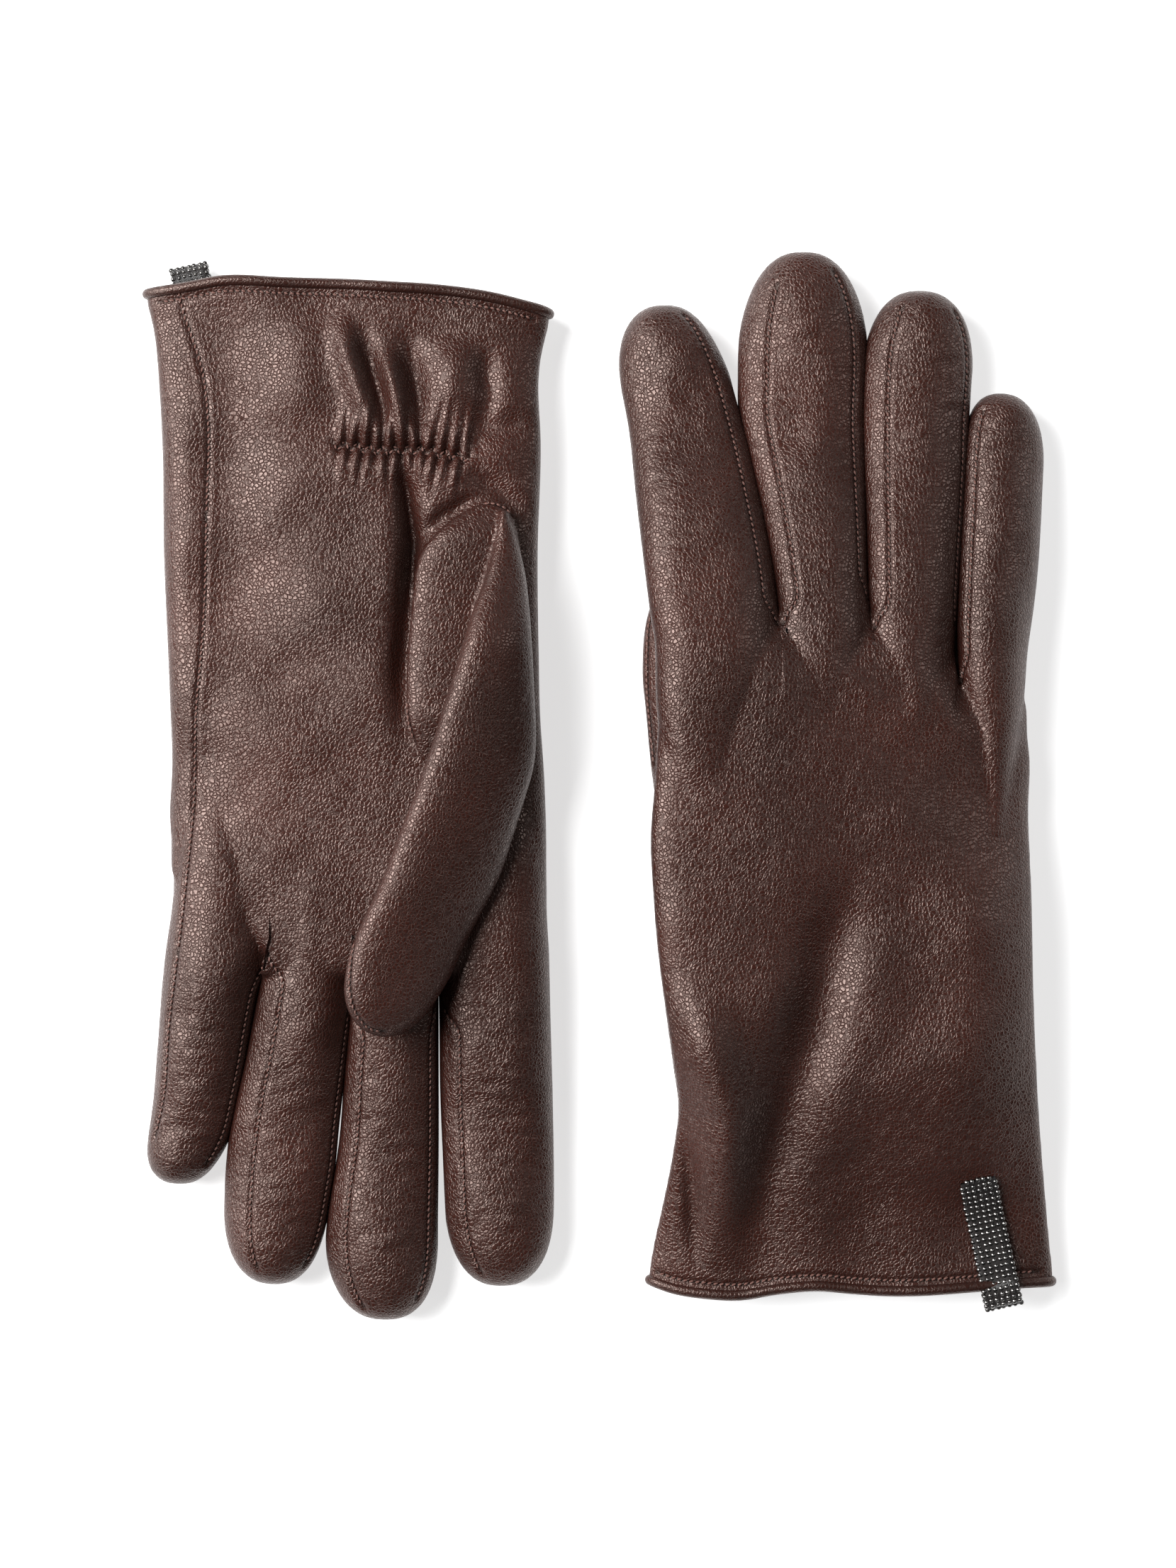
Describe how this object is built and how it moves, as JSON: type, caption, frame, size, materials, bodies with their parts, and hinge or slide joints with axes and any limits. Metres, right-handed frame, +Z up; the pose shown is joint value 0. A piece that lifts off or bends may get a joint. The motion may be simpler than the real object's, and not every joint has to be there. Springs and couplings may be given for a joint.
{
  "type": "pair of touchscreen gloves",
  "caption": "Pair of lined leather gloves with beaded cuff tabs; the fingers, thumbs and cuffs bend.",
  "frame": {"origin": "centre of the pair's footprint, on the surface it lies on", "axes": "+Y along the fingers of the right glove, which is the one on the +X side; +Z up"},
  "size_m": [0.2086, 0.245, 0.0327],
  "materials": {
    "leather": "dark brown pebbled nappa, semi-gloss",
    "fourchette": "the same leather, between the fingers",
    "lining": "brushed knit",
    "elastic": "woven elastic",
    "binding": "rolled leather edge",
    "beads": "gunmetal ball beads"
  },
  "bodies": {
    "left_hand": {"left_back_panel": "leather", "left_palm_panel": "leather", "left_hand_lining": "lining"},
    "left_cuff": {"left_cuff_leather": "leather", "left_cuff_lining": "lining", "left_wrist_elastic": "elastic", "left_cuff_binding": "binding", "left_bead_tab": "beads"},
    "left_index": {"left_index_fourchette": "fourchette", "left_index_lining": "lining", "left_index_trank": "leather"},
    "left_middle": {"left_middle_fourchette_little_side": "fourchette", "left_middle_fourchette_thumb_side": "fourchette", "left_middle_lining": "lining", "left_middle_trank": "leather"},
    "left_ring": {"left_ring_fourchette_little_side": "fourchette", "left_ring_fourchette_thumb_side": "fourchette", "left_ring_lining": "lining", "left_ring_trank": "leather"},
    "left_little": {"left_little_fourchette": "fourchette", "left_little_lining": "lining", "left_little_trank": "leather"},
    "left_thumb": {"left_thumb_leather": "leather", "left_thumb_lining": "lining"},
    "right_hand": {"right_back_panel": "leather", "right_palm_panel": "leather", "right_hand_lining": "lining"},
    "right_cuff": {"right_cuff_leather": "leather", "right_cuff_lining": "lining", "right_wrist_elastic": "elastic", "right_cuff_binding": "binding", "right_bead_tab": "beads"},
    "right_index": {"right_index_fourchette": "fourchette", "right_index_lining": "lining", "right_index_trank": "leather"},
    "right_middle": {"right_middle_fourchette_little_side": "fourchette", "right_middle_fourchette_thumb_side": "fourchette", "right_middle_lining": "lining", "right_middle_trank": "leather"},
    "right_ring": {"right_ring_fourchette_little_side": "fourchette", "right_ring_fourchette_thumb_side": "fourchette", "right_ring_lining": "lining", "right_ring_trank": "leather"},
    "right_little": {"right_little_fourchette": "fourchette", "right_little_lining": "lining", "right_little_trank": "leather"},
    "right_thumb": {"right_thumb_leather": "leather", "right_thumb_lining": "lining"}
  },
  "joints": [
    {"name": "right_glove_lift", "type": "slide", "parent": "left_hand", "child": "right_hand", "axis": [0, 0, 1], "range_m": [0, 0.12]},
    {"name": "left_wrist_bend", "type": "hinge", "parent": "left_hand", "child": "left_cuff", "pos_m": [-0.0584, 0.0755, 0.00825], "axis": [1, 0, 0], "range_deg": [-22, 22]},
    {"name": "left_index_bend", "type": "hinge", "parent": "left_hand", "child": "left_index", "pos_m": [-0.0244, -0.0595, 0.015], "axis": [-1, 0, 0], "range_deg": [-10, 80]},
    {"name": "left_middle_bend", "type": "hinge", "parent": "left_hand", "child": "left_middle", "pos_m": [-0.0484, -0.0595, 0.015], "axis": [-1, 0, 0], "range_deg": [-10, 80]},
    {"name": "left_ring_bend", "type": "hinge", "parent": "left_hand", "child": "left_ring", "pos_m": [-0.0699, -0.0595, 0.015], "axis": [-1, 0, 0], "range_deg": [-10, 80]},
    {"name": "left_little_bend", "type": "hinge", "parent": "left_hand", "child": "left_little", "pos_m": [-0.0894, -0.0445, 0.0136], "axis": [-1, 0, 0], "range_deg": [-10, 80]},
    {"name": "left_thumb_swing", "type": "hinge", "parent": "left_hand", "child": "left_thumb", "pos_m": [-0.0304, 0.0345, 0.025], "axis": [0, 0, 1], "range_deg": [-15, 30]},
    {"name": "right_wrist_bend", "type": "hinge", "parent": "right_hand", "child": "right_cuff", "pos_m": [0.0557, -0.0752, 0.01365], "axis": [1, 0, 0], "range_deg": [-22, 22]},
    {"name": "right_index_bend", "type": "hinge", "parent": "right_hand", "child": "right_index", "pos_m": [0.0235, 0.0598, 0.00961], "axis": [-1, 0, 0], "range_deg": [-10, 80]},
    {"name": "right_middle_bend", "type": "hinge", "parent": "right_hand", "child": "right_middle", "pos_m": [0.0493, 0.0598, 0.00627], "axis": [-1, 0, 0], "range_deg": [-10, 80]},
    {"name": "right_ring_bend", "type": "hinge", "parent": "right_hand", "child": "right_ring", "pos_m": [0.072, 0.0598, 0.00333], "axis": [-1, 0, 0], "range_deg": [-10, 80]},
    {"name": "right_little_bend", "type": "hinge", "parent": "right_hand", "child": "right_little", "pos_m": [0.0909, 0.0448, 0.0012], "axis": [-1, 0, 0], "range_deg": [-10, 80]},
    {"name": "right_thumb_swing", "type": "hinge", "parent": "right_hand", "child": "right_thumb", "pos_m": [0.0297, -0.0342, 0.0065], "axis": [0, 0, 1], "range_deg": [0, 17]}
  ]
}
